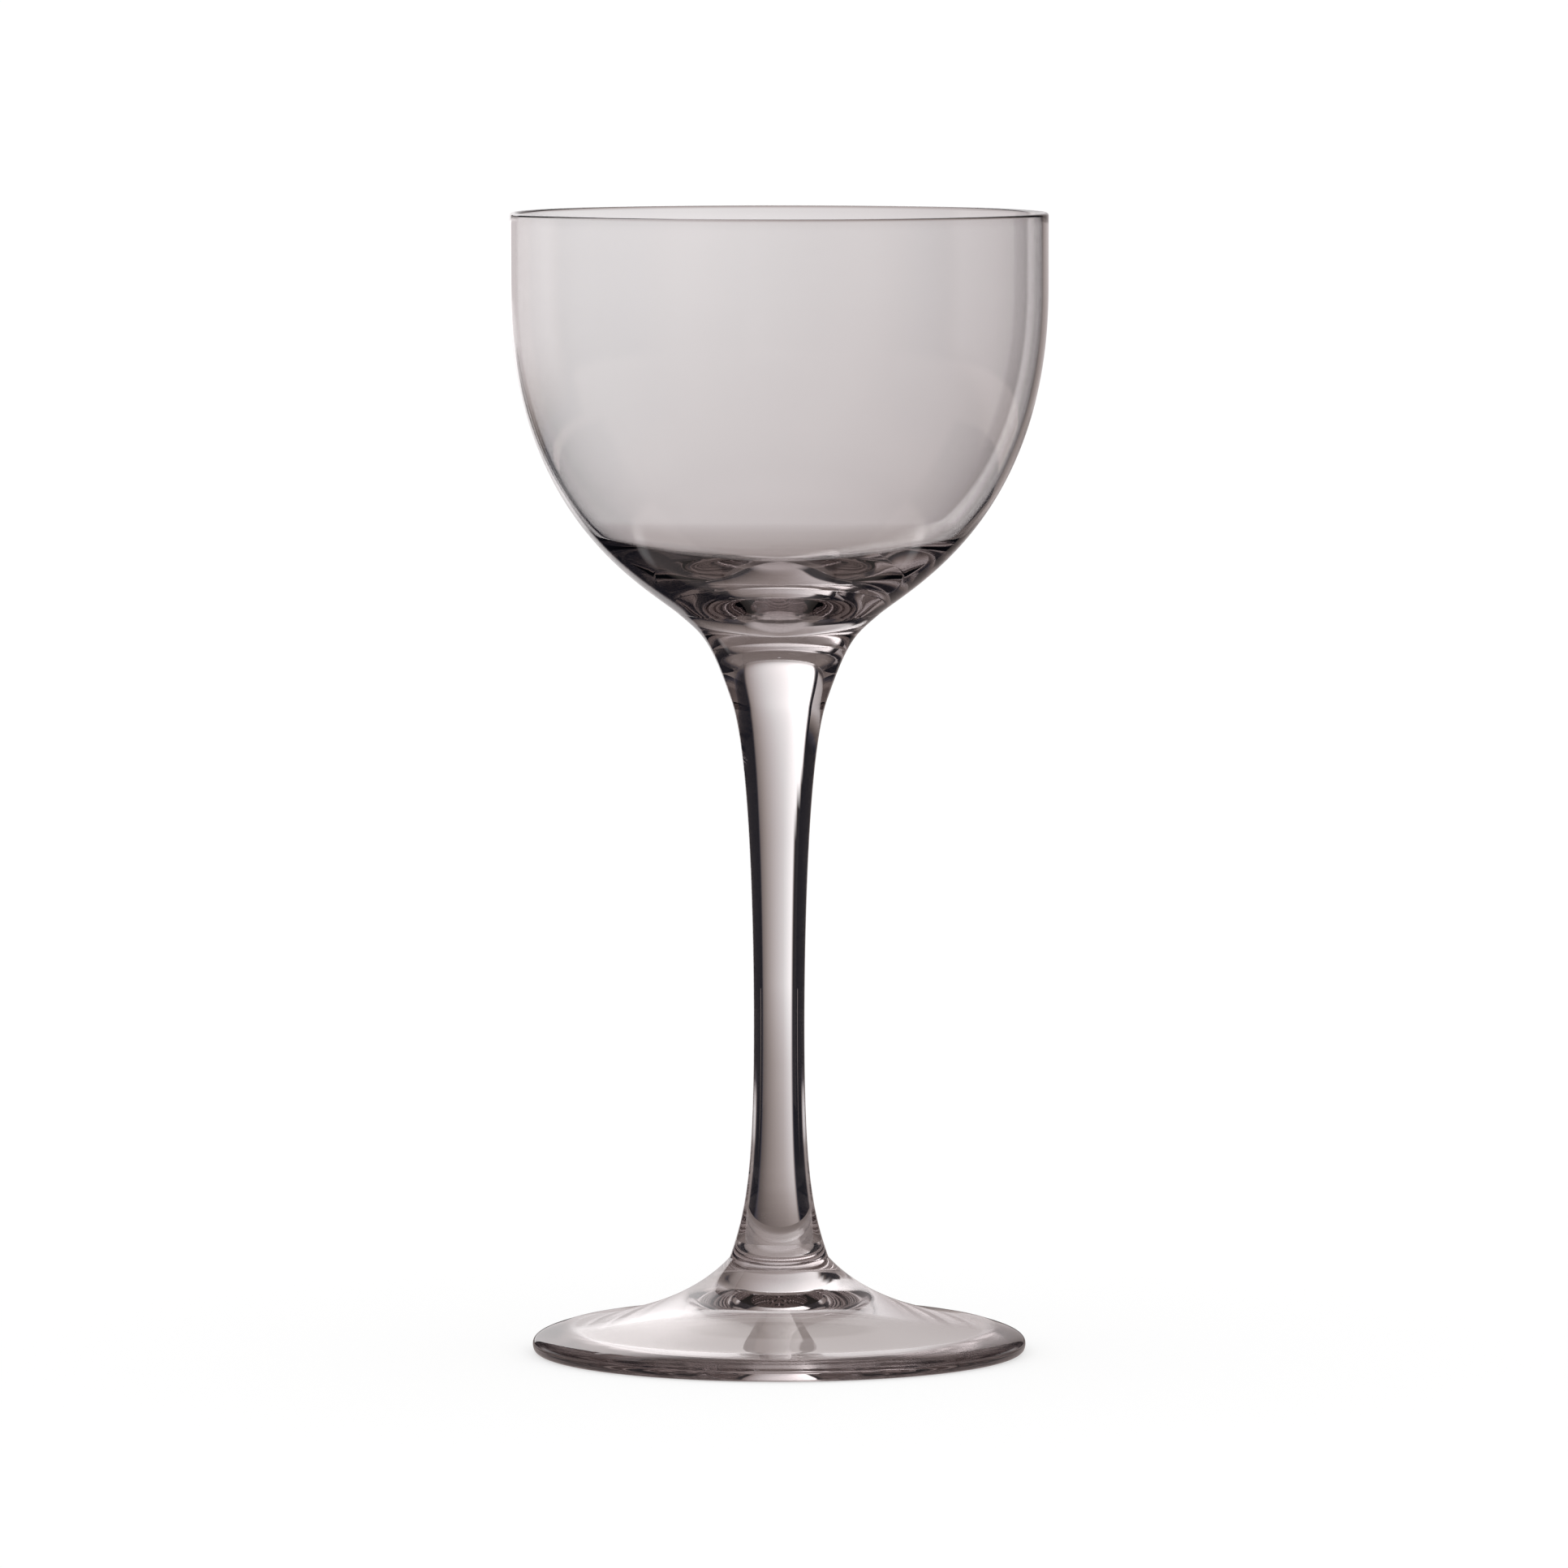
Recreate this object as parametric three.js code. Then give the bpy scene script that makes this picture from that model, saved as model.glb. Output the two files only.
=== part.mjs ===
// A stemmed cocktail glass in lightly smoked glass, in millimetres, +Z up.
// The origin is the middle of the circle that the foot stands on.
// Three pieces, each turned about Z and fused to the next while hot: foot, stem and bowl.
import * as THREE from 'three';

// Foot: a disc with a raised crown and a rounded edge, hollowed under so that it is of even thickness
const footDiameter = 67.1;
const footWidestHeight = 1.2;
const footEdgeRound = 3.7;
const footEdgeReachDown = 2.0;
const footEdgeReachUp = 1.2;
const footShoulderHeight = 3.4;
const footShoulderSlope = 18.0;
const footShoulderReach = 2.1;
const footUndersideRound = 1.1;
const footRestRing = 4.5;
const hollowTurnDiameter = 41.0;
const hollowTurnHeight = 1.5;
const hollowBendDiameter = 23.0;
const hollowBendHeight = 5.0;
const hollowDiscDiameter = 12.0;
const hollowDepth = 6.7;
const crownHeight = 12.9;
const crownDiameter = 13.4;
const crownLean = -42.0;
const crownReach = 11.0;

// Stem: flared at its foot end, slim at the waist, cupped under the bowl
const stemLength = 87.7;
const stemFootLean = -19.0;
const stemFootReach = 6.7;
const waistDiameter = 6.9;
const waistHeight = 31.4;
const waistReachDown = 19.8;
const waistReachUp = 8.7;
const neckDiameter = 13.0;
const neckDrop = 11.7;
const neckLean = 19.0;
const neckReachDown = 8.6;
const neckReachUp = 9.0;

// Bowl: an upright lip above an egg-shaped side, on a domed base that sits in the stem
const bowlHeight = 54.4;
const rimDiameter = 72.9;
const wall = 0.85;
const lipBand = 10.2;
const sideReach = 31.3;
const collarDiameter = 27.2;
const collarLean = 49.4;
const collarReachDown = 4.2;
const collarReachUp = 5.5;
const domeDepth = 3.4;
const floorThickness = 3.7;
const floorReach = 3.0;
const heelFullness = 0.514;
const heelRise = 11.4;
const heelLean = 41.5;
const heelReachDown = 7.0;
const heelReachUp = 7.2;
const cavityReach = 17.0;

// Facets round the axis, and steps along the long and the short curves of a section
const facetsRound = 48;
const longSteps = 12;
const shortSteps = 6;

// Heights and radii that follow from the sizes
const stemTop = crownHeight + stemLength;
const rimHeight = stemTop + bowlHeight;
const sideTop = rimHeight - lipBand;
const domeBottom = stemTop - domeDepth;
const floorHeight = domeBottom + floorThickness;
const footRadius = footDiameter / 2;
const rimRadius = rimDiameter / 2;
const cavityRadius = rimRadius - wall;
const lipRadius = wall / 2;

// The heel of the cavity lies part of the way out from the collar to the cavity's side
const heelRadius = THREE.MathUtils.lerp(collarDiameter / 2, cavityRadius, heelFullness);

// A knot of a section: its radius and height, the way its curve leans there in degrees from upright,
// outward as it rises, and how far the curve holds that lean below and above the knot
function knot(radius, height, lean, reachDown, reachUp) {
  const way = new THREE.Vector2(0, 1).rotateAround(new THREE.Vector2(), -THREE.MathUtils.degToRad(lean));
  const point = new THREE.Vector2(radius, height);
  return {
    point,
    below: point.clone().addScaledVector(way, -reachDown),
    above: point.clone().addScaledVector(way, reachUp),
  };
}

// The knots that the sections turn at, from the ground up
const edge = knot(footRadius, footWidestHeight, 0, footWidestHeight, footEdgeReachUp);
const shoulder = knot(
  footRadius - footEdgeRound,
  footShoulderHeight,
  footShoulderSlope - 90,
  footEdgeReachDown,
  footShoulderReach,
);
const crown = knot(crownDiameter / 2, crownHeight, crownLean, crownReach, 0);
const stemFoot = knot(crownDiameter / 2, crownHeight, stemFootLean, 0, stemFootReach);
const waist = knot(waistDiameter / 2, crownHeight + waistHeight, 0, waistReachDown, waistReachUp);
const neck = knot(neckDiameter / 2, stemTop - neckDrop, neckLean, neckReachDown, neckReachUp);
const collar = knot(collarDiameter / 2, stemTop, collarLean, collarReachDown, collarReachUp);
const side = knot(rimRadius, sideTop, 0, sideReach, 0);
const heel = knot(heelRadius, stemTop + heelRise, heelLean, heelReachDown, heelReachUp);
const cavitySide = knot(cavityRadius, sideTop, 0, cavityReach, 0);

// The points after the first of a curve
function stepsOf(curve, steps) {
  return curve.getPoints(steps).slice(1);
}

// A smooth rise from one knot to the next
function rise(from, to, steps) {
  return stepsOf(new THREE.CubicBezierCurve(from.point, from.above, to.below, to.point), steps);
}

// The dome under the bowl, out from the axis to the collar
function dome() {
  const lowest = new THREE.Vector2(0, domeBottom);
  const turn = new THREE.Vector2(collar.point.x / 2, domeBottom);
  return new THREE.QuadraticBezierCurve(lowest, turn, collar.point).getPoints(shortSteps);
}

// The foot's section, from its underside round the edge to the crown
function footSection() {
  const restOutside = new THREE.Vector2(footRadius - footUndersideRound, 0);
  const restInside = new THREE.Vector2(restOutside.x - footRestRing, 0);
  const hollowTurn = new THREE.Vector2(hollowTurnDiameter / 2, hollowTurnHeight);
  const hollowBend = new THREE.Vector2(hollowBendDiameter / 2, hollowBendHeight);
  const hollow = new THREE.QuadraticBezierCurve(hollowBend, hollowTurn, restInside);
  const underEdge = new THREE.QuadraticBezierCurve(restOutside, edge.below, edge.point);
  return [
    new THREE.Vector2(0, hollowDepth),
    new THREE.Vector2(hollowDiscDiameter / 2, hollowDepth),
    ...hollow.getPoints(shortSteps),
    restOutside,
    ...stepsOf(underEdge, shortSteps),
    ...rise(edge, shoulder, shortSteps),
    ...rise(shoulder, crown, longSteps),
    new THREE.Vector2(0, crownHeight),
  ];
}

// The stem's section, from the seam on the crown up to the cup that holds the dome
function stemSection() {
  return [
    new THREE.Vector2(0, crownHeight),
    stemFoot.point,
    ...rise(stemFoot, waist, longSteps),
    ...rise(waist, neck, longSteps),
    ...rise(neck, collar, longSteps),
    ...dome().reverse().slice(1),
  ];
}

// The bowl's section, from the dome up the outside, over the lip and down the inside to its floor
function bowlSection() {
  const lip = new THREE.EllipseCurve(
    rimRadius - lipRadius, rimHeight - lipRadius, lipRadius, lipRadius, 0, Math.PI);
  const floorEnd = new THREE.Vector2(0, floorHeight);
  const floorTurn = new THREE.Vector2(floorReach, floorHeight);
  const cavityUpper = new THREE.CubicBezierCurve(cavitySide.point, cavitySide.below, heel.above, heel.point);
  const cavityLower = new THREE.CubicBezierCurve(heel.point, heel.below, floorTurn, floorEnd);
  return [
    ...dome(),
    ...rise(collar, side, longSteps),
    ...lip.getPoints(shortSteps),
    cavitySide.point,
    ...stepsOf(cavityUpper, longSteps),
    ...stepsOf(cavityLower, longSteps),
  ];
}

// One piece of glass, turned from its section about Z
function turned(name, section, color) {
  const geometry = new THREE.LatheGeometry(section, facetsRound);
  geometry.rotateX(Math.PI / 2);
  const material = new THREE.MeshStandardMaterial({ color, roughness: 0.03, metalness: 0 });
  const mesh = new THREE.Mesh(geometry, material);
  mesh.name = name;
  return mesh;
}

const glass = new THREE.Group();
glass.add(turned('foot', footSection(), 0xcfc9c8));
glass.add(turned('stem', stemSection(), 0xb5adac));
glass.add(turned('bowl', bowlSection(), 0xd6d2d3));

export default glass;
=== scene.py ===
# A stemmed cocktail glass in lightly smoked glass, standing on a white floor.
import math

import bpy
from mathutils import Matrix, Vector


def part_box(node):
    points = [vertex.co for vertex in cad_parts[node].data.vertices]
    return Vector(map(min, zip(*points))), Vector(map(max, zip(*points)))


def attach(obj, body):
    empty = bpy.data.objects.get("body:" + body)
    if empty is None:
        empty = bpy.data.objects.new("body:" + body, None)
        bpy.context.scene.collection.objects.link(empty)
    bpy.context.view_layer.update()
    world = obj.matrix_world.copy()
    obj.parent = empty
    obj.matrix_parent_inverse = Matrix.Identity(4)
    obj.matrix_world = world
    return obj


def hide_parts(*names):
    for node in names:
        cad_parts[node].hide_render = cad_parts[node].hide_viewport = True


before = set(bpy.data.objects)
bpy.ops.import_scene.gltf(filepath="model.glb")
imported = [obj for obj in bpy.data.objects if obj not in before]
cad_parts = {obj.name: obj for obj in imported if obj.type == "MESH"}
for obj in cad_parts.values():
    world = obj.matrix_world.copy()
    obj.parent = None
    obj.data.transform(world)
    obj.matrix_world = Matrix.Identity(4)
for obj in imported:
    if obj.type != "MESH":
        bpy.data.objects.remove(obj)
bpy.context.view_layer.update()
scene = bpy.context.scene
MM = 0.001

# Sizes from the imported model, in millimetres
foot_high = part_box("foot")[1]
stem_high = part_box("stem")[1]
bowl_low, bowl_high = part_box("bowl")
FOOT_RADIUS = foot_high.x / MM
CROWN_HEIGHT = foot_high.z / MM
COLLAR_RADIUS = stem_high.x / MM
STEM_TOP = stem_high.z / MM
RIM_RADIUS = bowl_high.x / MM
RIM_HEIGHT = bowl_high.z / MM
DOME_BOTTOM = bowl_low.z / MM

# Shape of the foot, in millimetres and degrees
FOOT_WIDEST_HEIGHT = 1.2
FOOT_EDGE_ROUND = 3.7
FOOT_EDGE_REACH_DOWN = 2.0
FOOT_EDGE_REACH_UP = 1.2
FOOT_SHOULDER_HEIGHT = 3.4
FOOT_SHOULDER_SLOPE = 18.0
FOOT_SHOULDER_REACH = 2.1
FOOT_UNDERSIDE_ROUND = 1.1
FOOT_REST_RING = 4.5
HOLLOW_TURN_RADIUS = 20.5
HOLLOW_TURN_HEIGHT = 1.5
HOLLOW_BEND_RADIUS = 11.5
HOLLOW_BEND_HEIGHT = 5.0
HOLLOW_DISC_RADIUS = 6.0
HOLLOW_DEPTH = 6.7
CROWN_RADIUS = 6.7
CROWN_LEAN = -42.0
CROWN_REACH = 11.0

# Shape of the stem
STEM_FOOT_LEAN = -19.0
STEM_FOOT_REACH = 6.7
WAIST_RADIUS = 3.45
WAIST_RISE = 31.4
WAIST_REACH_DOWN = 19.8
WAIST_REACH_UP = 8.7
NECK_RADIUS = 6.5
NECK_DROP = 11.7
NECK_LEAN = 19.0
NECK_REACH_DOWN = 8.6
NECK_REACH_UP = 9.0

# Shape of the bowl
WALL = 0.85
LIP_BAND = 10.2
SIDE_REACH = 31.3
COLLAR_LEAN = 49.4
COLLAR_REACH_DOWN = 4.2
COLLAR_REACH_UP = 5.5
CAVITY_REACH = 17.0
HEEL_RADIUS = 24.91
HEEL_RISE = 11.4
HEEL_LEAN = 41.5
HEEL_REACH_DOWN = 7.0
HEEL_REACH_UP = 7.2
FLOOR_THICKNESS = 3.7
FLOOR_REACH = 3.0

# Fineness of the meshes, and the gap that keeps fused faces apart
SEGMENTS = 192
LONG_STEPS = 64
SHORT_STEPS = 20
FLAT_STEPS = 8
RING_STEPS = 6
JOINT_GAP = 0.01
ON_AXIS = 0.000001
SHARP_ANGLE = 30.0

# How much light bends at the surface of the glass and at its fused faces, where it goes straight on
GLASS_IOR = 1.5
FUSED_IOR = 1.0


class Knot:
    """A point of a section, and how far its curve holds its lean below and above it."""

    def __init__(self, radius, height, lean=0.0, reach_down=0.0, reach_up=0.0):
        way = Vector((math.sin(math.radians(lean)), math.cos(math.radians(lean))))
        self.point = Vector((radius, height))
        self.below = self.point - way * reach_down
        self.above = self.point + way * reach_up


edge = Knot(FOOT_RADIUS, FOOT_WIDEST_HEIGHT, 0, FOOT_WIDEST_HEIGHT, FOOT_EDGE_REACH_UP)
shoulder = Knot(FOOT_RADIUS - FOOT_EDGE_ROUND, FOOT_SHOULDER_HEIGHT, FOOT_SHOULDER_SLOPE - 90,
                FOOT_EDGE_REACH_DOWN, FOOT_SHOULDER_REACH)
crown = Knot(CROWN_RADIUS, CROWN_HEIGHT, CROWN_LEAN, CROWN_REACH)
stem_foot = Knot(CROWN_RADIUS, CROWN_HEIGHT, STEM_FOOT_LEAN, 0, STEM_FOOT_REACH)
waist = Knot(WAIST_RADIUS, CROWN_HEIGHT + WAIST_RISE, 0, WAIST_REACH_DOWN, WAIST_REACH_UP)
neck = Knot(NECK_RADIUS, STEM_TOP - NECK_DROP, NECK_LEAN, NECK_REACH_DOWN, NECK_REACH_UP)
collar = Knot(COLLAR_RADIUS, STEM_TOP, COLLAR_LEAN, COLLAR_REACH_DOWN, COLLAR_REACH_UP)
side = Knot(RIM_RADIUS, RIM_HEIGHT - LIP_BAND, 0, SIDE_REACH)
cavity_side = Knot(RIM_RADIUS - WALL, RIM_HEIGHT - LIP_BAND, 0, CAVITY_REACH)
heel = Knot(HEEL_RADIUS, STEM_TOP + HEEL_RISE, HEEL_LEAN, HEEL_REACH_DOWN, HEEL_REACH_UP)


def curve(points, steps):
    """The points of a Bezier curve of any order, the first one left out."""
    result = []
    for step in range(1, steps + 1):
        t = step / steps
        level = list(points)
        while len(level) > 1:
            level = [a.lerp(b, t) for a, b in zip(level, level[1:])]
        result.append(level[0])
    return result


def line(start, end, steps):
    """The points of a straight line, the first one left out."""
    return curve([start, end], steps)


def rise(low, high, steps):
    """The points of a smooth rise from one knot to the next, the first one left out."""
    return curve([low.point, low.above, high.below, high.point], steps)


def dome(lift):
    """The joint between stem and bowl, from the axis out to the collar, raised by a lift."""
    up = Vector((0, lift))
    lowest = Vector((0, DOME_BOTTOM))
    turn = Vector((COLLAR_RADIUS / 2, DOME_BOTTOM))
    points = [lowest] + curve([lowest, turn, collar.point], SHORT_STEPS)
    return [point + up for point in points]


def lip():
    """The fire-polished lip, over the top of the wall from its outside to its inside."""
    middle = Vector((RIM_RADIUS - WALL / 2, RIM_HEIGHT - WALL / 2))
    points = []
    for step in range(SHORT_STEPS + 1):
        angle = math.pi * step / SHORT_STEPS
        points.append(middle + WALL / 2 * Vector((math.cos(angle), math.sin(angle))))
    return points


def foot_section():
    """The foot's surface from its hollow round the edge to the crown, then the joint under the stem."""
    rest_outside = Vector((FOOT_RADIUS - FOOT_UNDERSIDE_ROUND, 0))
    rest_inside = Vector((rest_outside.x - FOOT_REST_RING, 0))
    hollow_turn = Vector((HOLLOW_TURN_RADIUS, HOLLOW_TURN_HEIGHT))
    hollow_bend = Vector((HOLLOW_BEND_RADIUS, HOLLOW_BEND_HEIGHT))
    hollow_disc = Vector((HOLLOW_DISC_RADIUS, HOLLOW_DEPTH))
    surface = [Vector((0, HOLLOW_DEPTH))]
    surface += line(surface[0], hollow_disc, FLAT_STEPS)
    surface += line(hollow_disc, hollow_bend, FLAT_STEPS)
    surface += curve([hollow_bend, hollow_turn, rest_inside], SHORT_STEPS)
    surface += line(rest_inside, rest_outside, RING_STEPS)
    surface += curve([rest_outside, edge.below, edge.point], SHORT_STEPS)
    surface += rise(edge, shoulder, SHORT_STEPS)
    surface += rise(shoulder, crown, LONG_STEPS)
    joint = line(crown.point, Vector((0, CROWN_HEIGHT)), FLAT_STEPS)
    return surface, joint


def stem_section():
    """The joint on the foot, the stem's surface, then the cup that takes the bowl."""
    lift = Vector((0, JOINT_GAP))
    joint = [Vector((0, CROWN_HEIGHT)) + lift]
    joint += line(joint[0], stem_foot.point + lift, FLAT_STEPS)
    surface = rise(stem_foot, waist, LONG_STEPS)
    surface += rise(waist, neck, LONG_STEPS)
    surface += rise(neck, collar, LONG_STEPS)
    cup = list(reversed(dome(0)))[1:]
    return joint, surface, cup


def bowl_section():
    """The joint in the stem's cup, then the bowl's outside, its lip and its inside down to the floor."""
    lip_points = lip()
    floor_middle = Vector((0, DOME_BOTTOM + FLOOR_THICKNESS))
    floor_turn = floor_middle + Vector((FLOOR_REACH, 0))
    surface = rise(collar, side, LONG_STEPS)
    surface += line(side.point, lip_points[0], FLAT_STEPS)
    surface += lip_points[1:]
    surface += line(lip_points[-1], cavity_side.point, FLAT_STEPS)
    surface += curve([cavity_side.point, cavity_side.below, heel.above, heel.point], LONG_STEPS)
    surface += curve([heel.point, heel.below, floor_turn, floor_middle], LONG_STEPS)
    return dome(JOINT_GAP), surface


def ring(point):
    """The corners of a section point turned about Z: a single one where it lies on the axis."""
    if point.x < ON_AXIS:
        return [(0, 0, point.y * MM)]
    corners = []
    for k in range(SEGMENTS):
        angle = 2 * math.pi * k / SEGMENTS
        corners.append((point.x * MM * math.cos(angle), point.x * MM * math.sin(angle), point.y * MM))
    return corners


def band(low, high):
    """The faces between two rings, each given by the numbers of its corners."""
    faces = []
    for k in range(SEGMENTS):
        n = (k + 1) % SEGMENTS
        if len(low) == 1:
            faces.append((low[0], high[n], high[k]))
        elif len(high) == 1:
            faces.append((low[k], low[n], high[0]))
        else:
            faces.append((low[k], low[n], high[n], high[k]))
    return faces


def turned(name, runs, material):
    """A closed solid turned about Z from runs of section points, each with how its faces bend light."""
    verts = []
    faces = []
    iors = []
    below = None
    for points, ior in runs:
        for point in points:
            corners = ring(point)
            here = range(len(verts), len(verts) + len(corners))
            verts += corners
            if below:
                faces += band(below, here)
                iors += [ior] * SEGMENTS
            below = here
    mesh = bpy.data.meshes.new(name)
    mesh.from_pydata(verts, [], faces)
    mesh.shade_smooth()
    mesh.set_sharp_from_angle(angle=math.radians(SHARP_ANGLE))
    mesh.attributes.new("joint_ior", "FLOAT", "FACE").data.foreach_set("value", iors)
    mesh.materials.append(material)
    piece = bpy.data.objects.new(name, mesh)
    scene.collection.objects.link(piece)
    return piece


# Glass: how strongly its depth is smoked, how it was drawn and formed, and where its foot is worn
SMOKE_DENSITY = 14.0
SMOKE_COLOR = (0.14, 0.0, 0.0, 1)
WAVES_PER_METRE = 70.0
WAVE_DETAIL = 1.0
WAVE_STRETCH = 0.35
WAVE_DEPTH = 0.00006
CLEAREST = (0.995, 0.995, 0.995, 1)
HAZIEST = (0.965, 0.962, 0.962, 1)
WORN_HEIGHT = 0.0003
WORN_ROUGHNESS = 0.12


def forming_waves(nodes, links):
    """The faint unevenness that drawing and blowing leave in glass, longer up the glass than round it."""
    place = nodes.new("ShaderNodeTexCoord")
    stretch = nodes.new("ShaderNodeMapping")
    stretch.inputs["Scale"].default_value = (1, 1, WAVE_STRETCH)
    links.new(place.outputs["Object"], stretch.inputs["Vector"])
    waves = nodes.new("ShaderNodeTexNoise")
    waves.inputs["Scale"].default_value = WAVES_PER_METRE
    waves.inputs["Detail"].default_value = WAVE_DETAIL
    links.new(stretch.outputs["Vector"], waves.inputs["Vector"])
    return waves.outputs["Fac"]


def worn_ring(nodes, links):
    """Fine scratches where the foot rubs on tables: rough at the ground, polished just above it."""
    place = nodes.new("ShaderNodeTexCoord")
    parts = nodes.new("ShaderNodeSeparateXYZ")
    links.new(place.outputs["Object"], parts.inputs["Vector"])
    wear = nodes.new("ShaderNodeMapRange")
    wear.inputs["From Max"].default_value = WORN_HEIGHT
    wear.inputs["To Min"].default_value = WORN_ROUGHNESS
    wear.inputs["To Max"].default_value = 0.0
    links.new(parts.outputs["Z"], wear.inputs["Value"])
    return wear.outputs["Result"]


def smoke_glass():
    """Fire-polished glass with smoke in its depth, which lets light straight through its fused faces."""
    material = bpy.data.materials.new("smoke_glass")
    material.use_nodes = True
    nodes = material.node_tree.nodes
    links = material.node_tree.links
    shader = nodes["Principled BSDF"]
    shader.inputs["Transmission Weight"].default_value = 1.0
    joint = nodes.new("ShaderNodeAttribute")
    joint.attribute_name = "joint_ior"
    links.new(joint.outputs["Fac"], shader.inputs["IOR"])
    links.new(worn_ring(nodes, links), shader.inputs["Roughness"])
    waves = forming_waves(nodes, links)
    tint = nodes.new("ShaderNodeValToRGB")
    tint.color_ramp.elements[0].color = HAZIEST
    tint.color_ramp.elements[1].color = CLEAREST
    links.new(waves, tint.inputs["Fac"])
    links.new(tint.outputs["Color"], shader.inputs["Base Color"])
    bump = nodes.new("ShaderNodeBump")
    bump.inputs["Distance"].default_value = WAVE_DEPTH
    links.new(waves, bump.inputs["Height"])
    links.new(bump.outputs["Normal"], shader.inputs["Normal"])
    smoke = nodes.new("ShaderNodeVolumeAbsorption")
    smoke.inputs["Color"].default_value = SMOKE_COLOR
    smoke.inputs["Density"].default_value = SMOKE_DENSITY
    links.new(smoke.outputs["Volume"], nodes["Material Output"].inputs["Volume"])
    return material


# The three pieces of glass
glass = smoke_glass()
foot_surface, foot_joint = foot_section()
foot = turned("foot_glass", [(foot_surface, GLASS_IOR), (foot_joint, FUSED_IOR)], glass)
stem_joint, stem_surface, stem_cup = stem_section()
stem_runs = [(stem_joint, FUSED_IOR), (stem_surface, GLASS_IOR), (stem_cup, FUSED_IOR)]
stem = turned("stem_glass", stem_runs, glass)
bowl_joint, bowl_surface = bowl_section()
bowl = turned("bowl_glass", [(bowl_joint, FUSED_IOR), (bowl_surface, GLASS_IOR)], glass)
for piece, node in ((foot, "foot"), (stem, "stem"), (bowl, "bowl")):
    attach(piece, "root")
    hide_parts(node)

# Camera, in metres and degrees, with its lens in millimetres
CAMERA_DISTANCE = 1.540
CAMERA_HEIGHT = 0.1957
CAMERA_SIDE = 0.00066
CAMERA_PITCH = -4.39
CAMERA_LENS = 261.3
CAMERA_SENSOR = 36.0
CAMERA_CLIP_END = 100.0
camera_data = bpy.data.cameras.new("camera")
camera_data.lens = CAMERA_LENS
camera_data.sensor_width = CAMERA_SENSOR
camera_data.clip_end = CAMERA_CLIP_END
camera = bpy.data.objects.new("camera", camera_data)
camera.location = (CAMERA_SIDE, -CAMERA_DISTANCE, CAMERA_HEIGHT)
camera.rotation_euler = (math.radians(90 + CAMERA_PITCH), 0, 0)
scene.collection.objects.link(camera)
scene.camera = camera


# Studio that only the glass shows, in metres and in degrees right of straight behind it; level 1 is white
def smooth(low, high, value):
    """0 at low and before it, 1 at high and past it, and a smooth change between them."""
    t = min(1.0, max(0.0, (value - low) / (high - low)))
    return t * t * (3 - 2 * t)


def between(low, high, soft, value):
    """1 between two limits, falling softly to 0 outside them."""
    return smooth(low - soft, low + soft, value) * (1 - smooth(high - soft, high + soft, value))


def blend(start, end, share):
    """The number that lies a share of the way from start to end."""
    return start + (end - start) * share


def bearing(place):
    """The bearing of a place."""
    return math.degrees(math.atan2(place.x, place.y))


# Greys of the studio: a little warm where they are light, warmer where darker, and cool near black
WARMTH = 0.21
LEAST_WARMTH = 0.17
DARK_BLUE = 0.945
DARK_BLUE_LEVEL = 0.2
LIGHT_BLUE = 1.006
LIGHT_BLUE_LEVEL = 0.65
COOLNESS = 0.45
COOLEST_LEVEL = 0.02
LEAST_COOL_LEVEL = 0.12


def studio_grey(level):
    """The colour of a grey of the studio."""
    cool = 1 - smooth(COOLEST_LEVEL, LEAST_COOL_LEVEL, level)
    warm = level * (1 - WARMTH * max(LEAST_WARMTH, 1.0 - level) * (1 - cool))
    blue = blend(DARK_BLUE, LIGHT_BLUE, smooth(DARK_BLUE_LEVEL, LIGHT_BLUE_LEVEL, level))
    return (level, warm, warm * blue + COOLNESS * cool * level, 1)


# Light tent: a dark dome with a graded bright window behind the glass and a dim front and top
DARK_LEVEL = 0.012
TENT_RADIUS = 0.60
TENT_MIDDLE = 0.06
TENT_END = 89.0
TENT_ROWS = 48
HORIZON_LEVEL = 0.66
HIGHEST_LEVEL = 1.30
LEVEL_PER_DEGREE_UP = 0.022
LEVEL_PER_DEGREE_RIGHT = -0.027
LEFT_EDGE_LIFT = 0.22
LEFT_EDGE_START = -4.0
LEFT_EDGE_END = -18.0
WINDOW_LEFT = -20.5
WINDOW_RIGHT = 28.5
WINDOW_SOFT = 2.0
WINDOW_FLARE = 9.0
WINDOW_FLARE_RISE = 5.0
STRIP_LEVEL = 0.3
STRIP_FROM = 126.0
FRONT_LEVEL = 0.20
FRONT_FROM = 150.0
FRONT_SOFT = 20.0
TOP_LEVEL = 0.25
TOP_START = 31.0
TOP_END = 47.0


def inside_window(across, left):
    """1 between the left and right sides of the bright window, falling softly to 0 outside it."""
    return between(left, WINDOW_RIGHT, WINDOW_SOFT, across)


def gain_across(across):
    """How the window brightens from its right side to its left, and most near its left edge."""
    left_edge = LEFT_EDGE_LIFT * smooth(LEFT_EDGE_START, LEFT_EDGE_END, across)
    return 1 + LEVEL_PER_DEGREE_RIGHT * across + left_edge


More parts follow.
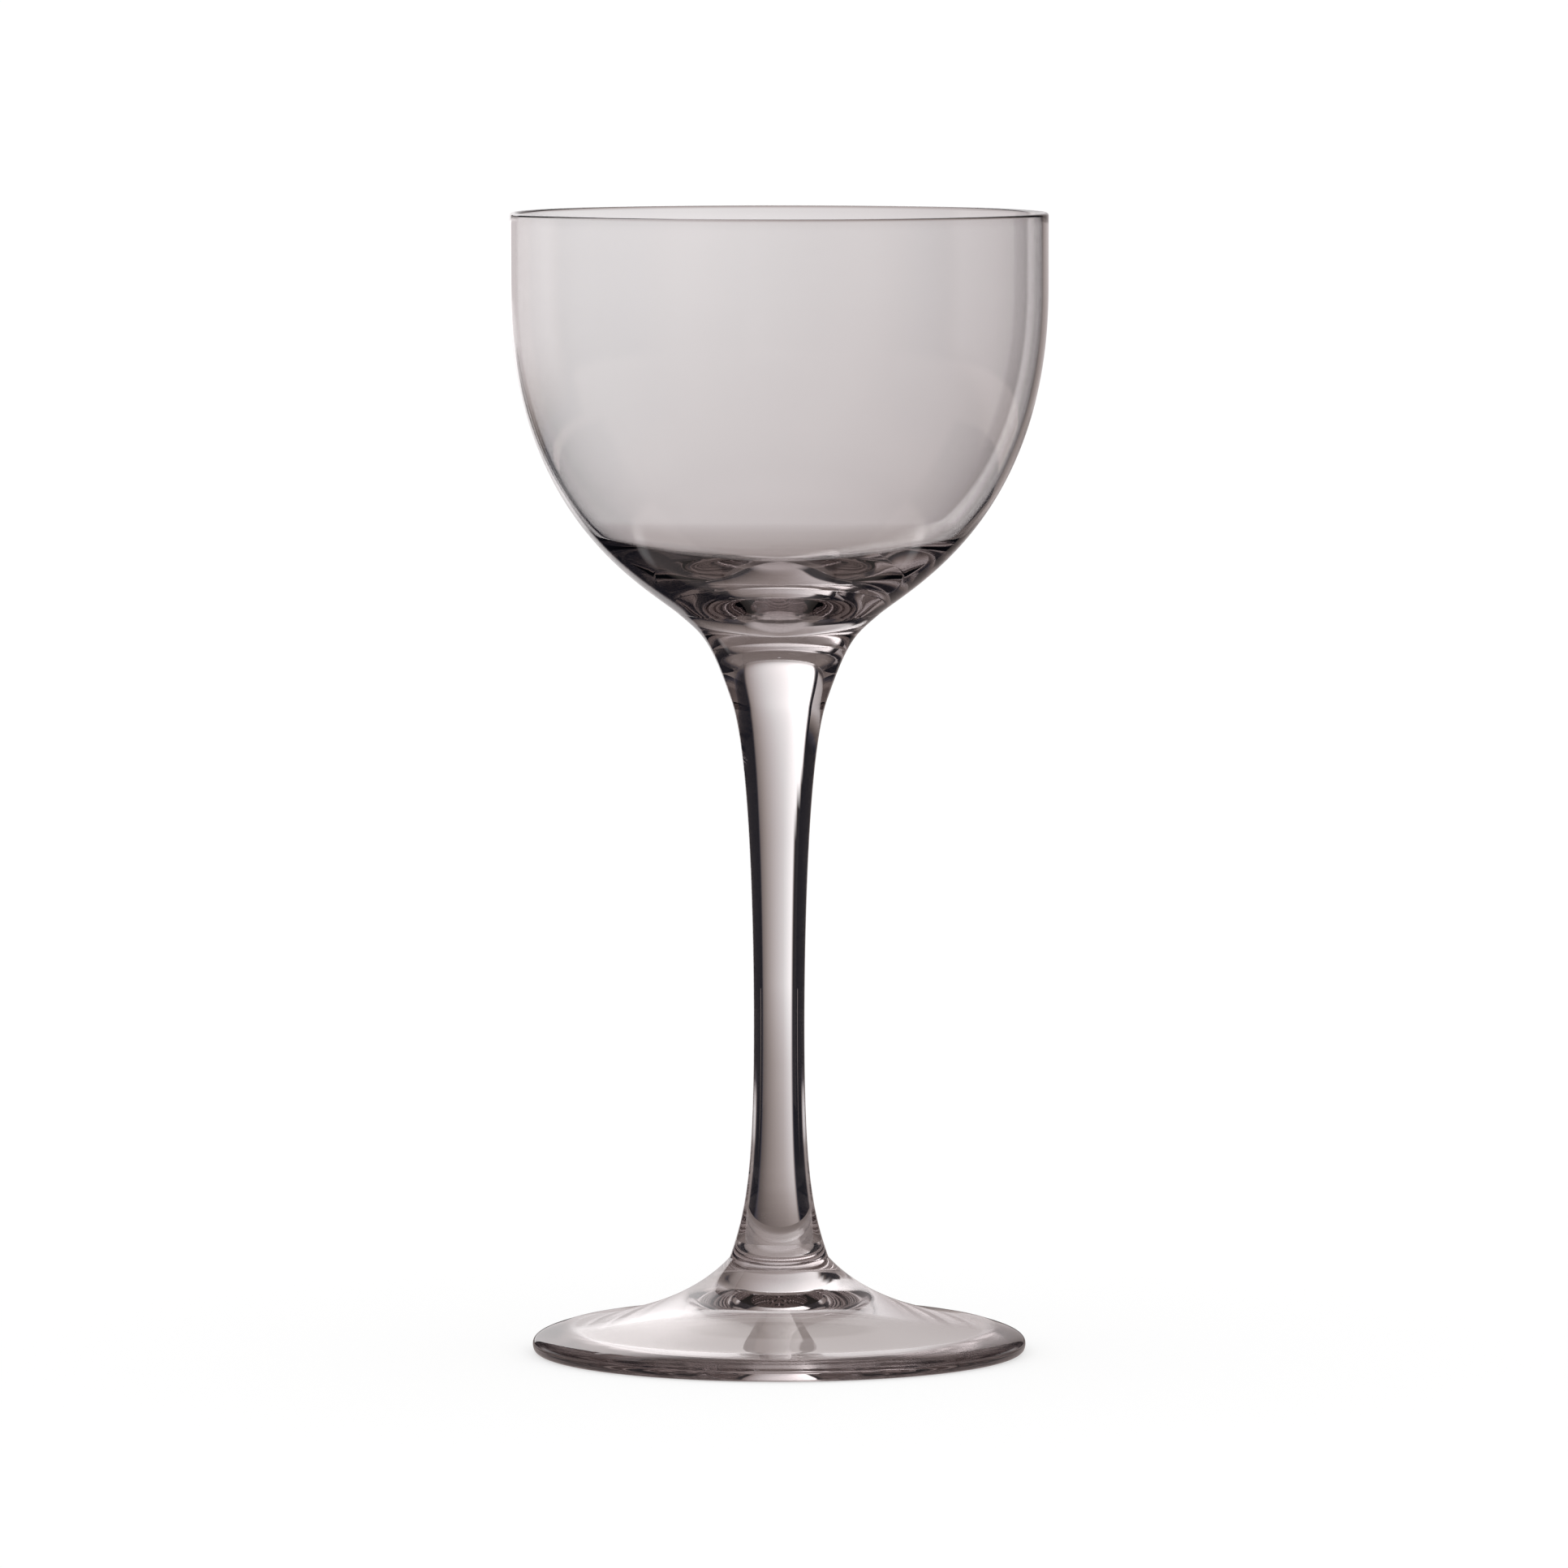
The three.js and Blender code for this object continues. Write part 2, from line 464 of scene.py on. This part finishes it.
def tent_level(place):
    """How bright the tent is at a place on it, by its bearing and its rise above the stem's middle."""
    across = bearing(place)
    up = math.degrees(math.atan2(place.z - TENT_MIDDLE, math.hypot(place.x, place.y)))
    left = WINDOW_LEFT - WINDOW_FLARE * smooth(0, WINDOW_FLARE_RISE, up)
    window = min(HIGHEST_LEVEL, HORIZON_LEVEL + LEVEL_PER_DEGREE_UP * max(0.0, up))
    window *= gain_across(max(left, min(WINDOW_RIGHT, across)))
    level = blend(DARK_LEVEL, window, inside_window(across, left))
    strip = smooth(STRIP_FROM - FRONT_SOFT, STRIP_FROM + FRONT_SOFT, abs(across))
    front = smooth(FRONT_FROM - FRONT_SOFT, FRONT_FROM + FRONT_SOFT, abs(across))
    level = blend(level, STRIP_LEVEL, strip)
    level = blend(level, FRONT_LEVEL, front)
    return blend(level, TOP_LEVEL, smooth(TOP_START, TOP_END, up))


# Flags: a dark sheet at each side, with a flat apron; painted light makes it glow pale at its outer foot
# and in a light patch, though a flag is no lamp
FLAG_RADIUS = 0.11
FLAG_TOP = 0.09
FLAG_START = 34.0
FLAG_END = 100.0
APRON_INSIDE = 0.042
GROUND_LIFT = 0.0002
PAINTED_PALE_LEVEL = 0.36
PALE_FROM = 50.0
PALE_SOFT = 4.0
PALE_TOP = 0.018
PALE_FADE = 0.006
PAINTED_PATCH_LEVEL = 0.85
PATCH_START = 50.0
PATCH_END = 71.0
PATCH_SOFT = 6.0
PATCH_BOTTOM = 0.006
PATCH_TOP = 0.020
PATCH_FADE = 0.004


def flag_level(place):
    """How bright a flag or its apron glows at a place on it: dark, with painted light in a pale foot and a
    light patch.
    """
    across = abs(bearing(place))
    pale = smooth(PALE_FROM - PALE_SOFT, PALE_FROM + PALE_SOFT, across)
    pale *= 1 - smooth(PALE_TOP - PALE_FADE, PALE_TOP + PALE_FADE, place.z)
    patch = between(PATCH_START, PATCH_END, PATCH_SOFT, across)
    patch *= between(PATCH_BOTTOM, PATCH_TOP, PATCH_FADE, place.z)
    # Painted light: a pale glow at the flag's foot and a brighter patch.
    return blend(blend(DARK_LEVEL, PAINTED_PALE_LEVEL, pale), PAINTED_PATCH_LEVEL, patch)


# Softbox: a light above the left flag
SOFTBOX_LEVEL = 0.60
SOFTBOX_LEFT = -90.0
SOFTBOX_LEFT_FADE = 14.0
SOFTBOX_RIGHT = -33.0
SOFTBOX_BOTTOM = 0.095
SOFTBOX_BOTTOM_FADE = 0.035
SOFTBOX_TOP = 0.165
SOFTBOX_TOP_FADE = 0.012


def softbox_level(place):
    """How bright the softbox is at a place on it: it fades at its left end, its bottom and its top."""
    level = SOFTBOX_LEVEL * smooth(SOFTBOX_LEFT, SOFTBOX_LEFT + SOFTBOX_LEFT_FADE, bearing(place))
    level *= smooth(SOFTBOX_BOTTOM, SOFTBOX_BOTTOM + SOFTBOX_BOTTOM_FADE, place.z)
    level *= 1 - smooth(SOFTBOX_TOP - SOFTBOX_TOP_FADE, SOFTBOX_TOP, place.z)
    return DARK_LEVEL + level


# Card on the floor behind the glass, with its levels at radii in millimetres; its darkening towards the
# glass is painted shade
CARD_SIDE = 34.0
CARD_INSIDE = 42
CARD_OUTSIDE = 606
CARD_STEP = 6
CARD_SHADED_LEVELS = ((42, 0.23), (60, 0.30), (90, 0.38), (120, 0.41), (214, 0.44), (350, 0.48), (600, 0.66))


def card_level(place):
    """How bright the card glows at a place on it: darker towards the glass as painted shade, and dark
    outside the sides of the window.
    """
    radius = math.hypot(place.x, place.y) / MM
    # Painted shade: the card's level falls towards the glass.
    level = CARD_SHADED_LEVELS[0][1]
    for (near, near_level), (far, far_level) in zip(CARD_SHADED_LEVELS, CARD_SHADED_LEVELS[1:]):
        if radius >= near:
            level = blend(near_level, far_level, min(1.0, (radius - near) / (far - near)))
    across = bearing(place)
    return blend(DARK_LEVEL, level * gain_across(across), inside_window(across, WINDOW_LEFT))


# Ground that glass looks down on, which painted light makes pale from above, by the angle of the look in
# degrees
LOW_ANGLE = 50.0
STEEP_ANGLE = 60.0
PAINTED_ABOVE_LEVEL = 0.58


def painted_pale_from_above(nodes, links, color, paths):
    """A colour of the ground, kept at a low angle and paled with painted light where glass looks down on
    it steeply.
    """
    steepness = nodes.new("ShaderNodeLayerWeight")
    share = nodes.new("ShaderNodeMapRange")
    share.inputs["From Min"].default_value = 1 - math.sin(math.radians(LOW_ANGLE))
    share.inputs["From Max"].default_value = 1 - math.sin(math.radians(STEEP_ANGLE))
    links.new(steepness.outputs["Facing"], share.inputs["Value"])
    through = nodes.new("ShaderNodeMath")
    through.operation = "MULTIPLY"
    links.new(share.outputs["Result"], through.inputs[0])
    links.new(paths.outputs["Is Transmission Ray"], through.inputs[1])
    # Painted light: the ground glows paler where glass looks down on it steeply.
    mix = nodes.new("ShaderNodeMix")
    mix.data_type = "RGBA"
    links.new(through.outputs["Value"], mix.inputs["Factor"])
    links.new(color, mix.inputs["A"])
    mix.inputs["B"].default_value = studio_grey(PAINTED_ABOVE_LEVEL)
    return mix.outputs["Result"]


def glow_material(name, is_ground):
    """A glow of the colours that a sheet's corners carry."""
    material = bpy.data.materials.new(name)
    material.use_nodes = True
    nodes = material.node_tree.nodes
    links = material.node_tree.links
    nodes.remove(nodes["Principled BSDF"])
    source = nodes.new("ShaderNodeAttribute")
    source.attribute_name = "glow"
    color = source.outputs["Color"]
    if is_ground:
        color = painted_pale_from_above(nodes, links, color, nodes.new("ShaderNodeLightPath"))
    glow = nodes.new("ShaderNodeEmission")
    links.new(color, glow.inputs["Color"])
    links.new(glow.outputs["Emission"], nodes["Material Output"].inputs["Surface"])
    return material


# Turntable that the studio's sheets stand on, which turns with the camera's bearing
turntable = bpy.data.objects.new("turntable", None)
scene.collection.objects.link(turntable)
facing_camera = turntable.constraints.new("LOCKED_TRACK")
facing_camera.target = camera
facing_camera.track_axis = "TRACK_NEGATIVE_Y"
facing_camera.lock_axis = "LOCK_Z"

# Sheets of the studio, turned about Z from a profile of radii and heights
COLUMN_DEGREES = 1.5
UPRIGHT_ROWS = 24


def tent_profile():
    """The tent's profile, from the floor to just short of its top."""
    profile = []
    for row in range(TENT_ROWS + 1):
        angle = math.radians(TENT_END * row / TENT_ROWS)
        profile.append((TENT_RADIUS * math.cos(angle), TENT_RADIUS * math.sin(angle)))
    return profile


def upright_profile(bottom, top):
    """The profile of an upright sheet at the flags' radius."""
    profile = []
    for row in range(UPRIGHT_ROWS + 1):
        profile.append((FLAG_RADIUS, blend(bottom, top, row / UPRIGHT_ROWS)))
    return profile


def studio_sheet(name, profile, start, end, level, material):
    """A sheet between two bearings that only reflections and refractions see."""
    columns = round(abs(end - start) / COLUMN_DEGREES)
    verts = []
    faces = []
    for radius, height in profile:
        for k in range(columns + 1):
            angle = math.radians(start + (end - start) * k / columns)
            verts.append(Vector((radius * math.sin(angle), radius * math.cos(angle), height)))
    for row in range(len(profile) - 1):
        for k in range(columns):
            a = row * (columns + 1) + k
            b = a + columns + 1
            faces.append((a, a + 1, b + 1, b))
    mesh = bpy.data.meshes.new(name)
    mesh.from_pydata(verts, [], faces)
    glow = mesh.attributes.new("glow", "FLOAT_COLOR", "POINT")
    for k, place in enumerate(verts):
        glow.data[k].color = studio_grey(level(place))
    mesh.materials.append(material)
    sheet = bpy.data.objects.new(name, mesh)
    scene.collection.objects.link(sheet)
    sheet.visible_camera = False
    sheet.visible_diffuse = False
    sheet.visible_shadow = False
    sheet.parent = turntable


studio_glow = glow_material("studio_glow", False)
ground_glow = glow_material("ground_glow", True)
flag_profile = upright_profile(GROUND_LIFT, FLAG_TOP)
softbox_profile = upright_profile(SOFTBOX_BOTTOM, SOFTBOX_TOP)
apron_profile = [(APRON_INSIDE, GROUND_LIFT), (FLAG_RADIUS, GROUND_LIFT)]
card_profile = [(radius * MM, GROUND_LIFT) for radius in range(CARD_INSIDE, CARD_OUTSIDE + 1, CARD_STEP)]
studio_sheet("light_tent", tent_profile(), -180, 180, tent_level, studio_glow)
studio_sheet("left_flag", flag_profile, -FLAG_END, -FLAG_START, flag_level, studio_glow)
studio_sheet("right_flag", flag_profile, FLAG_START, FLAG_END, flag_level, studio_glow)
studio_sheet("left_apron", apron_profile, -FLAG_END, -FLAG_START, flag_level, ground_glow)
studio_sheet("right_apron", apron_profile, FLAG_START, FLAG_END, flag_level, ground_glow)
studio_sheet("softbox", softbox_profile, SOFTBOX_LEFT, SOFTBOX_RIGHT, softbox_level, studio_glow)
studio_sheet("back_card", card_profile, -CARD_SIDE, CARD_SIDE, card_level, ground_glow)

# Floor, with the painted shade that glass sees on it: its levels at radii from the middle of the foot, in
# millimetres
FLOOR_HALF = 30.0
FLOOR_DROP = -0.00005
FLOOR_PAPER = (0.45, 0.45, 0.45, 1)
FLOOR_LIFT = (0.57, 0.57, 0.57, 1)
FLOOR_SHADE_LEVELS = (
    (0, 0.34), (12.2, 0.34), (12.6, 0.42), (34, 0.42), (40, 0.22),
    (60, 0.11), (120, 0.11), (200, 0.22), (600, 0.30),
)


def floor_painted_shade(nodes, links):
    """Painted shade that glass sees on the floor, by the distance from the middle of the foot: a darker
    disc under the stem with a sharp edge, and a darker ring round the foot.
    """
    place = nodes.new("ShaderNodeTexCoord")
    away = nodes.new("ShaderNodeVectorMath")
    away.operation = "LENGTH"
    links.new(place.outputs["Object"], away.inputs[0])
    farthest = FLOOR_SHADE_LEVELS[-1][0]
    share = nodes.new("ShaderNodeMath")
    share.operation = "DIVIDE"
    share.inputs[1].default_value = farthest * MM
    links.new(away.outputs["Value"], share.inputs[0])
    ramp = nodes.new("ShaderNodeValToRGB")
    stops = ramp.color_ramp.elements
    stops[0].color = studio_grey(FLOOR_SHADE_LEVELS[0][1])
    stops[1].color = studio_grey(FLOOR_SHADE_LEVELS[-1][1])
    for radius, level in FLOOR_SHADE_LEVELS[1:-1]:
        stops.new(radius / farthest).color = studio_grey(level)
    links.new(share.outputs["Value"], ramp.inputs["Fac"])
    return ramp.outputs["Color"]


def floor_material():
    """Paper that takes the shadow, lifted to white for the camera; glass sees painted shade on it in the
    studio's greys.
    """
    material = bpy.data.materials.new("floor")
    material.use_nodes = True
    nodes = material.node_tree.nodes
    links = material.node_tree.links
    paths = nodes.new("ShaderNodeLightPath")
    paper = nodes["Principled BSDF"]
    paper.inputs["Base Color"].default_value = FLOOR_PAPER
    paper.inputs["Roughness"].default_value = 1.0
    paper.inputs["Specular IOR Level"].default_value = 0.0
    lift = nodes.new("ShaderNodeEmission")
    lift.inputs["Color"].default_value = FLOOR_LIFT
    links.new(paths.outputs["Is Camera Ray"], lift.inputs["Strength"])
    lifted = nodes.new("ShaderNodeAddShader")
    links.new(paper.outputs["BSDF"], lifted.inputs[0])
    links.new(lift.outputs["Emission"], lifted.inputs[1])
    glow = nodes.new("ShaderNodeEmission")
    # Painted shade: glass sees the floor darker under the stem and round the foot.
    color = painted_pale_from_above(nodes, links, floor_painted_shade(nodes, links), paths)
    links.new(color, glow.inputs["Color"])
    seen = nodes.new("ShaderNodeMath")
    seen.operation = "MAXIMUM"
    links.new(paths.outputs["Is Glossy Ray"], seen.inputs[0])
    links.new(paths.outputs["Is Transmission Ray"], seen.inputs[1])
    mix = nodes.new("ShaderNodeMixShader")
    links.new(seen.outputs["Value"], mix.inputs["Fac"])
    links.new(lifted.outputs["Shader"], mix.inputs[1])
    links.new(glow.outputs["Emission"], mix.inputs[2])
    links.new(mix.outputs["Shader"], nodes["Material Output"].inputs["Surface"])
    return material


floor_mesh = bpy.data.meshes.new("floor")
floor_square = ((-1, -1), (1, -1), (1, 1), (-1, 1))
floor_corners = [(FLOOR_HALF * x, FLOOR_HALF * y, FLOOR_DROP) for x, y in floor_square]
floor_mesh.from_pydata(floor_corners, [], [(0, 1, 2, 3)])
floor_mesh.materials.append(floor_material())
floor = bpy.data.objects.new("floor", floor_mesh)
scene.collection.objects.link(floor)

# World: an even white light
world = bpy.data.worlds.new("studio")
world.use_nodes = True
scene.world = world
sky = world.node_tree.nodes["Background"]
sky.inputs["Color"].default_value = (1, 1, 1, 1)
sky.inputs["Strength"].default_value = 1.0

# Bounces that light needs to find its way through the glass
GLASS_BOUNCES = 48
GLOSSY_BOUNCES = 24
scene.view_settings.view_transform = "Standard"
scene.cycles.max_bounces = GLASS_BOUNCES
scene.cycles.transmission_bounces = GLASS_BOUNCES
scene.cycles.glossy_bounces = GLOSSY_BOUNCES
